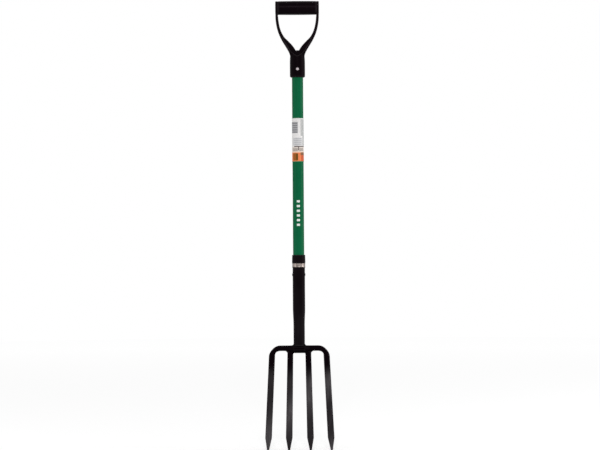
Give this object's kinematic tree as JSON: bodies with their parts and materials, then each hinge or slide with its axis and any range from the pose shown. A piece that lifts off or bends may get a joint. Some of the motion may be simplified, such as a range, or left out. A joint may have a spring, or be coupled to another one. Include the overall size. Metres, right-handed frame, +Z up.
{
  "type": "digging fork",
  "caption": "Long digging fork with a D-handle, a painted tubular shaft in a swaged steel socket, and forged dished tines welded under a bent crossbar",
  "frame": {"origin": "underside of the hand grip at its middle, where a wall hook carries the hanging tool", "axes": "+Z up the shaft towards the grip, +X to the right across the tines, +Y to the back; the tines' points stand forward, towards -Y"},
  "size_m": [0.1844, 0.0534, 1.2],
  "materials": {
    "green_paint": "satin dark green powder coat",
    "black_paint": "satin black paint on steel",
    "black_forging": "black lacquer on forged steel, thinner and greyer towards the points",
    "black_plastic": "fine-grained moulded plastic",
    "black_rubber": "smooth soft-touch moulding",
    "bare_steel": "plated steel",
    "rivet_metal": "bright set head",
    "label_film": "printed white film"
  },
  "bodies": {
    "root": {"shaft_tube": "green_paint", "socket_tube": "black_paint", "ferrule_ring": "bare_steel", "socket_collar": "black_plastic", "socket_rivet": "black_paint", "handle_rivet": "rivet_metal", "outer_tine_bow": "black_forging", "inner_tine_bow": "black_forging", "neck_weld_left": "black_paint", "neck_weld_right": "black_paint", "inner_weld_left": "black_paint", "inner_weld_right": "black_paint", "handle_body": "black_plastic", "grip_sleeve": "black_rubber", "grip_core_tube": "bare_steel", "grip_cap_left": "black_plastic", "grip_cap_right": "black_plastic", "label_wrap": "label_film"}
  },
  "joints": []
}
